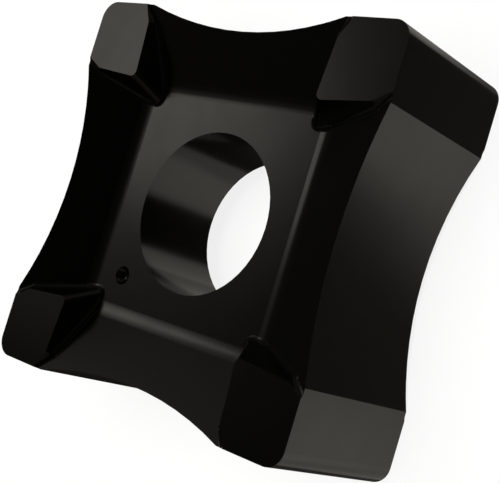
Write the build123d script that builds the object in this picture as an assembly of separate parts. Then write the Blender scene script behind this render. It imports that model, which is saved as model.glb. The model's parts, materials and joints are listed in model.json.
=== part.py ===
from build123d import *
import math
import os

# Double-sided square carbide insert, in millimetres.
# +Z is up, along the bore. The origin is on the bore's axis, in the plane of the
# four lower lands, which the insert is seated on.

# blank
side = 13.0                 # from one cutting edge to the opposite one
thickness = 5.56            # from the lower lands to the upper lands
nose_radius = 0.6
hollow_depth = 0.63         # dip in the middle of each side
hollow_half_span = 4.1      # from the middle of a side to the end of its dip
bore_diameter = 5.4

# recess pressed into each face
floor_depth = 1.02          # from the lands down to the floor
rim_drop = 0.055            # from the lands down to the top of the slopes
slope_angle = 20.5          # rise of the slopes, from the floor to the sides
floor_radius = 1.42         # blend between floor and slopes

# corner land, measured from the square's sharp corner
land_length = 2.07          # along each cutting edge
land_width = 2.6            # from each cutting edge to the inner corner
land_bend_along = 2.435     # along one cutting edge, to the bend in the inner edge
land_bend_inset = 0.64      # from the other cutting edge, to the same bend
land_corner_radius = 0.25   # rounding of the inner corner and the bends
wall_draft = 29.0           # lean of the walls below the land
foot_radius = 0.2           # blend at the foot of those walls

# index dot in the upper floor
dot_diameter = 0.63
dot_depth = 0.2
dot_reach = 3.77            # from the bore's axis
dot_bearing = 135           # towards the corner that it marks, from +X

overrun = 0.1               # cutters run this far past the sides
wall_lift = 0.3             # the walls are carried up this far past the lands


def blank():
    hollow_radius = (hollow_half_span ** 2 + hollow_depth ** 2) / (2 * hollow_depth)
    with BuildSketch() as section:
        RectangleRounded(side, side, nose_radius)
        with PolarLocations(side / 2 - hollow_depth + hollow_radius, 4):
            Circle(hollow_radius, mode=Mode.SUBTRACT)
    return extrude(section.sketch, thickness)


def basin():
    # the open space over the floor and the slopes, with the floor at height 0
    rise = math.tan(math.radians(slope_angle))
    floor_half = side / 2 - (floor_depth - rim_drop) / rise
    mouth_half = side / 2 + overrun
    mouth_height = (mouth_half - floor_half) * rise
    mouth = Pos(0, 0, mouth_height) * Rectangle(2 * mouth_half, 2 * mouth_half)
    space = loft([Rectangle(2 * floor_half, 2 * floor_half).face(), mouth.face()])
    space += extrude(mouth, floor_depth + wall_lift - mouth_height)
    return fillet(space.edges().group_by(Axis.Z)[0], floor_radius)


def corner_post():
    # the drafted post under one land; its outline is true at the land's height
    def from_corner(x, y):
        return (side / 2 - x, side / 2 - y)

    past = -side / 4
    end = land_length + past * (land_bend_along - land_length) / land_bend_inset
    land = make_face(Polyline(
        from_corner(past, past),
        from_corner(past, end),
        from_corner(land_bend_inset, land_bend_along),
        from_corner(land_width, land_width),
        from_corner(land_bend_along, land_bend_inset),
        from_corner(end, past),
        close=True))
    spread = floor_depth * math.tan(math.radians(wall_draft))
    post = extrude(offset(land, spread, kind=Kind.INTERSECTION), floor_depth + wall_lift, taper=wall_draft)
    upright = post.edges().group_by(Axis.Z)[1]
    return fillet(upright.sort_by_distance((0, 0, 0))[:3], land_corner_radius)


def recess():
    space = basin()
    posts = [Rot(0, 0, 90 * corner) * corner_post() for corner in range(4)]
    cut = space - posts
    feet = [edge for edge in new_edges(space, *posts, combined=cut) if edge.center().Z < floor_depth]
    return fillet(feet, foot_radius)


def index_dot():
    ball_radius = (dot_diameter ** 2 / 4 + dot_depth ** 2) / (2 * dot_depth)
    bearing = math.radians(dot_bearing)
    height = thickness - floor_depth - dot_depth + ball_radius
    return Pos(dot_reach * math.cos(bearing), dot_reach * math.sin(bearing), height) * Sphere(ball_radius)


def insert_body():
    upper = Pos(0, 0, thickness - floor_depth) * recess()
    lower = mirror(upper, Plane.XY.offset(thickness / 2))
    bore = Cylinder(bore_diameter / 2, thickness, align=(Align.CENTER, Align.CENTER, Align.MIN))
    return blank() - upper - lower - bore - index_dot()


os.makedirs("parts", exist_ok=True)
export_step(insert_body(), "parts/insert_body.step")
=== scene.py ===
import bpy
import bmesh
import json
import math
from mathutils import Matrix, Vector

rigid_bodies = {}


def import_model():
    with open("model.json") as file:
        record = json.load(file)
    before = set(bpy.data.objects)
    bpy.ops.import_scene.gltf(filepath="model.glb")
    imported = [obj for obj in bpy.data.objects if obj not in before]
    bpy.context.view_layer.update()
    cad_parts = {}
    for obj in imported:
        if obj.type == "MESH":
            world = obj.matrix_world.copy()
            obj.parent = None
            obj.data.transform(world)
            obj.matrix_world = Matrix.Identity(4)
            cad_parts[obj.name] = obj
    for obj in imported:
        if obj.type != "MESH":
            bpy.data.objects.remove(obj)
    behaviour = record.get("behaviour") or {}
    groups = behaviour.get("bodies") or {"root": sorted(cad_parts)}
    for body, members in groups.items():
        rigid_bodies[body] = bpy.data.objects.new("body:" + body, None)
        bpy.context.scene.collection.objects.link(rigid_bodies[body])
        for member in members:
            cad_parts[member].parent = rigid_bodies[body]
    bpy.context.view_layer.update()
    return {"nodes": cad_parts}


# Square carbide milling insert with raised corner lands: the solid part keeps its own mesh
# and gets the finish of a black coated carbide; floor, panels and camera stand round it.

millimetre = 0.001


def hexToLinear(colour):
    channels = [int(colour[start:start + 2], 16) / 255 for start in (1, 3, 5)]
    return [c / 12.92 if c <= 0.04045 else ((c + 0.055) / 1.055) ** 2.4 for c in channels] + [1.0]


def clearScene():
    for block in list(bpy.data.objects):
        bpy.data.objects.remove(block)


def addNode(tree, kind, settings=None, inputs=None, links=None):
    # settings are the node's own fields, inputs are socket values, links are socket: (node, output)
    node = tree.nodes.new(kind)
    for field, value in (settings or {}).items():
        setattr(node, field, value)
    for socket, value in (inputs or {}).items():
        node.inputs[socket].default_value = value
    for socket, (source, output) in (links or {}).items():
        tree.links.new(source.outputs[output], node.inputs[socket])
    return node


def newMaterial(name):
    material = bpy.data.materials.new(name)
    material.use_nodes = True
    material.node_tree.nodes.clear()
    return material, material.node_tree


clearScene()
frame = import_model()
insertBody = frame["nodes"]["insert_body"]
print("frame loaded")

# camera: above the insert, looking down on it and rolled on its own axis
cameraSettings = {
    "place": (-2.41, -24.23, 30.39),           # mm
    "right": (0.29361, -0.70571, -0.64480),    # its own right and up, as directions
    "up": (0.95469, 0.18226, 0.23525),
    "lens": 79.77,                             # mm
    "sensor": 36,                              # mm wide
    "shift": (0.1131, -0.0171),
}


def placeCamera(settings):
    data = bpy.data.cameras.new("camera")
    data.lens = settings["lens"]
    data.sensor_width = settings["sensor"]
    data.shift_x, data.shift_y = settings["shift"]
    data.clip_start = millimetre
    camera = bpy.data.objects.new("camera", data)
    right, up = Vector(settings["right"]), Vector(settings["up"])
    turn = Matrix((right, up, right.cross(up))).transposed().to_4x4()
    camera.matrix_world = Matrix.Translation(Vector(settings["place"]) * millimetre) @ turn
    bpy.context.scene.collection.objects.link(camera)
    bpy.context.scene.camera = camera


placeCamera(cameraSettings)
print("camera placed")

# coated carbide: tungsten carbide powder, pressed, sintered, then coated black from hot vapour; the
# coating is hard, even and thin, so the edges stay crisp and the eye gets a deep, faintly olive
# black with a satin gloss and soft mirror images of whatever stands round it
coatingSettings = {
    "colour": "#0a0802",
    "otherColour": "#080705",      # where the coating is a touch thicker
    "patch": 3.0,                  # mm across a patch of either colour
    "patchRange": (0.35, 0.65),    # stretch of the noise in which one colour passes into the other
    "ior": 1.5,                    # low for a hard coating, matched to how much it mirrors
    "roughness": (0.185, 0.215),   # where it is brightest and where it is dullest
    "haze": 1.2,                   # mm across a duller or brighter patch
    "hazeRange": (0.3, 0.7),       # stretch of the noise in which bright passes into dull
    "grain": 0.09,                 # mm; real carbide grain is under 0.002, drawn coarser to show
    "grainDepth": 0.00006,         # mm
    "detail": {"patch": 3, "haze": 4, "grain": 3},    # finer layers in each noise
}


def coatedCarbide(settings):
    material, tree = newMaterial("coatedCarbide")
    place = addNode(tree, "ShaderNodeTexCoord")
    patch, haze, grain = [
        addNode(tree, "ShaderNodeTexNoise",
                inputs={"Scale": 1 / (settings[pattern] * millimetre), "Detail": detail},
                links={"Vector": (place, "Object")})
        for pattern, detail in settings["detail"].items()]
    start, full = settings["patchRange"]
    share = addNode(tree, "ShaderNodeMapRange", inputs={"From Min": start, "From Max": full},
                    links={"Value": (patch, 0)})
    colour = addNode(tree, "ShaderNodeMix", {"data_type": "RGBA"},
                     {6: hexToLinear(settings["colour"]), 7: hexToLinear(settings["otherColour"])},
                     {0: (share, 0)})
    start, full = settings["hazeRange"]
    smooth, dull = settings["roughness"]
    gloss = addNode(tree, "ShaderNodeMapRange",
                    inputs={"From Min": start, "From Max": full, "To Min": smooth, "To Max": dull},
                    links={"Value": (haze, 0)})
    relief = addNode(tree, "ShaderNodeBump",
                     inputs={"Strength": 1.0, "Distance": settings["grainDepth"] * millimetre},
                     links={"Height": (grain, 0)})
    shader = addNode(tree, "ShaderNodeBsdfPrincipled", inputs={"IOR": settings["ior"]},
                     links={"Base Color": (colour, 2), "Roughness": (gloss, 0), "Normal": (relief, 0)})
    addNode(tree, "ShaderNodeOutputMaterial", links={"Surface": (shader, "BSDF")})
    return material


insertBody.material_slots[0].material = coatedCarbide(coatingSettings)
print("coating done")

# floor: pale matt paper, nearly plain white to the camera
floorSettings = {
    "size": 3.0,            # m
    "colour": "#f4f3f1",
    "white": 0.85,          # share of plain white that the camera sees; the rest keeps the shadow
    "lamp": 3.5,            # W per square metre, on the floor alone
    "lampAngle": 55,        # degrees, for a soft shadow
}


def layFloor(settings):
    shape = bmesh.new()
    bmesh.ops.create_grid(shape, x_segments=1, y_segments=1, size=settings["size"] / 2)
    mesh = bpy.data.meshes.new("floor")
    shape.to_mesh(mesh)
    shape.free()
    floor = bpy.data.objects.new("floor", mesh)
    bpy.context.scene.collection.objects.link(floor)
    material, tree = newMaterial("floorPaper")
    path = addNode(tree, "ShaderNodeLightPath")
    matt = addNode(tree, "ShaderNodeBsdfDiffuse", inputs={"Color": hexToLinear(settings["colour"])})
    white = addNode(tree, "ShaderNodeEmission", inputs={"Strength": 1.0})
    seen = addNode(tree, "ShaderNodeMath", {"operation": "MAXIMUM"},
                   links={0: (path, "Is Camera Ray"), 1: (path, "Is Transmission Ray")})
    share = addNode(tree, "ShaderNodeMath", {"operation": "MULTIPLY"}, {1: settings["white"]}, {0: (seen, 0)})
    mix = addNode(tree, "ShaderNodeMixShader", links={0: (share, 0), 1: (matt, 0), 2: (white, 0)})
    addNode(tree, "ShaderNodeOutputMaterial", links={"Surface": (mix, 0)})
    mesh.materials.append(material)
    # the insert mirrors the low panels and the room's band in place of the floor
    floor.visible_glossy = False
    floor.visible_shadow = False
    return floor


def lightFloor(floor, settings):
    receivers = bpy.data.collections.new("floorOnly")
    receivers.objects.link(floor)
    data = bpy.data.lights.new("floorLamp", "SUN")
    data.energy = settings["lamp"]
    data.angle = math.radians(settings["lampAngle"])
    lamp = bpy.data.objects.new("floorLamp", data)
    lamp.light_linking.receiver_collection = receivers
    bpy.context.scene.collection.objects.link(lamp)


floor = layFloor(floorSettings)
lightFloor(floor, floorSettings)
print("floor laid")


def awayFrom(azimuth, elevation):
    # direction from the insert, in degrees; azimuth runs from +Y towards +X
    azimuth, elevation = math.radians(azimuth), math.radians(elevation)
    return Vector((math.sin(azimuth) * math.cos(elevation), math.cos(azimuth) * math.cos(elevation),
                   math.sin(elevation)))


# room: dark overhead, dim to both sides above the horizon, and pale in a band below it that the
# insert's sides mirror in low views; each span runs from where a light starts to where it is full
roomSettings = {
    "tint": "#fff8ee",
    "ceiling": 0.01,              # in every direction, under all else
    "ground": 0.045,
    "groundRise": (-45, -54),     # degrees of elevation, as in the other spans up to sides
    "band": 0.7,
    "bandTop": (2, -10),
    "bandFoot": (-36, -22),
    "sides": (0.12, 0.08),        # towards -Y and towards +Y
    "sideReach": (0.45, 0.8),     # how far a direction points along X
    "sideTurn": (-0.3, 0.3),      # how far it points along Y, where one side's light becomes the other
    "sideFoot": (2, 14),          # degrees of elevation
    "backdrop": 1.0,              # what the camera sees of it
    # spread is in degrees from the middle of the glow
    "glows": [
        {"azimuth": 8, "elevation": 42, "spread": (45, 10), "light": 0.036},     # round the key panel
        {"azimuth": 180, "elevation": 46, "spread": (26, 10), "light": 0.03},    # for views from behind
    ],
}


def paintRoom(settings):
    world = bpy.data.worlds.new("room")
    bpy.context.scene.world = world
    world.use_nodes = True
    tree = world.node_tree
    tree.nodes.clear()
    heading = addNode(tree, "ShaderNodeTexCoord")
    parts = addNode(tree, "ShaderNodeSeparateXYZ", links={0: (heading, "Generated")})
    sideways = addNode(tree, "ShaderNodeMath", {"operation": "ABSOLUTE"}, links={0: (parts, "X")})
    ground, bandTop, bandFoot, sideFoot = [
        [math.sin(math.radians(angle)) for angle in settings[span]]
        for span in ("groundRise", "bandTop", "bandFoot", "sideFoot")]
    # a layer is a product of ramps; a ramp is its source and output, the span it runs over,
    # and its value at either end
    layers = [
        [(parts, "Z", ground, (0, settings["ground"]))],
        [(parts, "Z", bandTop, (0, settings["band"])), (parts, "Z", bandFoot, (0, 1))],
        [(sideways, 0, settings["sideReach"], (0, 1)), (parts, "Y", settings["sideTurn"], settings["sides"]),
         (parts, "Z", sideFoot, (0, 1))],
    ]
    for glow in settings["glows"]:
        nearness = addNode(tree, "ShaderNodeVectorMath", {"operation": "DOT_PRODUCT"},
                           {1: awayFrom(glow["azimuth"], glow["elevation"])}, {0: (heading, "Generated")})
        spread = [math.cos(math.radians(angle)) for angle in glow["spread"]]
        layers.append([(nearness, "Value", spread, (0, glow["light"]))])
    total = None
    for ramps in layers:
        layer = None
        for source, output, (start, end), (low, high) in ramps:
            ramp = addNode(tree, "ShaderNodeMapRange", {"interpolation_type": "SMOOTHSTEP"},
                           {"From Min": start, "From Max": end, "To Min": low, "To Max": high},
                           {"Value": (source, output)})
            if layer is None:
                layer = ramp
            else:
                layer = addNode(tree, "ShaderNodeMath", {"operation": "MULTIPLY"},
                                links={0: (layer, 0), 1: (ramp, 0)})
        # the first layer is added to the ceiling's light, each later one to the sum so far
        terms = {0: (layer, 0)}
        if total is not None:
            terms[1] = (total, 0)
        total = addNode(tree, "ShaderNodeMath", {"operation": "ADD"}, {1: settings["ceiling"]}, terms)
    path = addNode(tree, "ShaderNodeLightPath")
    seen = addNode(tree, "ShaderNodeMath", {"operation": "MAXIMUM"},
                   links={0: (path, "Is Camera Ray"), 1: (path, "Is Transmission Ray")})
    strength = addNode(tree, "ShaderNodeMix", inputs={"B": settings["backdrop"]},
                       links={"Factor": (seen, 0), "A": (total, 0)})
    sky = addNode(tree, "ShaderNodeBackground", inputs={"Color": hexToLinear(settings["tint"])},
                  links={"Strength": (strength, 0)})
    addNode(tree, "ShaderNodeOutputWorld", links={"Surface": (sky, 0)})


paintRoom(roomSettings)
print("room painted")

# panels: each faces the insert; angles are in degrees and azimuth runs from +Y towards +X,
# distance and size are in metres, and a radiance of 1 is as bright as plain white
panelSettings = [
    {"name": "keyPanel", "shape": "DISK", "azimuth": 14.7, "elevation": 42.6, "distance": 0.3,
     "size": (0.075, 0.075), "roll": 0, "radiance": 1.3},
    {"name": "glowPanel", "shape": "RECTANGLE", "azimuth": 17, "elevation": 43.5, "distance": 0.35,
     "size": (0.225, 0.105), "roll": 0, "radiance": 0.125},
    {"name": "glowPanelRight", "shape": "RECTANGLE", "azimuth": 27, "elevation": 42, "distance": 0.35,
     "size": (0.1, 0.155), "roll": 0, "radiance": 0.04},
    {"name": "lowPanelLeft", "shape": "RECTANGLE", "azimuth": -131, "elevation": -50, "distance": 0.3,
     "size": (0.31, 0.28), "roll": 0, "radiance": 0.36},
    {"name": "lowPanelRear", "shape": "RECTANGLE", "azimuth": -140.5, "elevation": -36, "distance": 0.29,
     "size": (0.315, 0.19), "roll": -22, "radiance": 0.4},
    {"name": "lowPanelRight", "shape": "RECTANGLE", "azimuth": 93, "elevation": -41, "distance": 0.3,
     "size": (0.125, 0.135), "roll": 0, "radiance": 0.52},
    {"name": "lowPanelFront", "shape": "RECTANGLE", "azimuth": 51, "elevation": -40, "distance": 0.3,
     "size": (0.2, 0.155), "roll": 0, "radiance": 0.3},
]
panelTint = "#fffaef"    # warm white, the same for all panels


def hangPanel(settings):
    away = awayFrom(settings["azimuth"], settings["elevation"])
    width, height = settings["size"]
    data = bpy.data.lights.new(settings["name"], "AREA")
    data.shape = settings["shape"]
    data.size, data.size_y = width, height
    data.color = hexToLinear(panelTint)[:3]
    area = width * height * (math.pi / 4 if settings["shape"] == "DISK" else 1)
    data.energy = settings["radiance"] * math.pi * area
    panel = bpy.data.objects.new(settings["name"], data)
    roll = Matrix.Rotation(math.radians(settings["roll"]), 4, "Z")
    turn = away.to_track_quat("Z", "Y").to_matrix().to_4x4() @ roll
    panel.matrix_world = Matrix.Translation(away * settings["distance"]) @ turn
    panel.visible_camera = False
    bpy.context.scene.collection.objects.link(panel)


for settings in panelSettings:
    hangPanel(settings)
print("panels hung")

bpy.context.scene.view_settings.view_transform = "Standard"
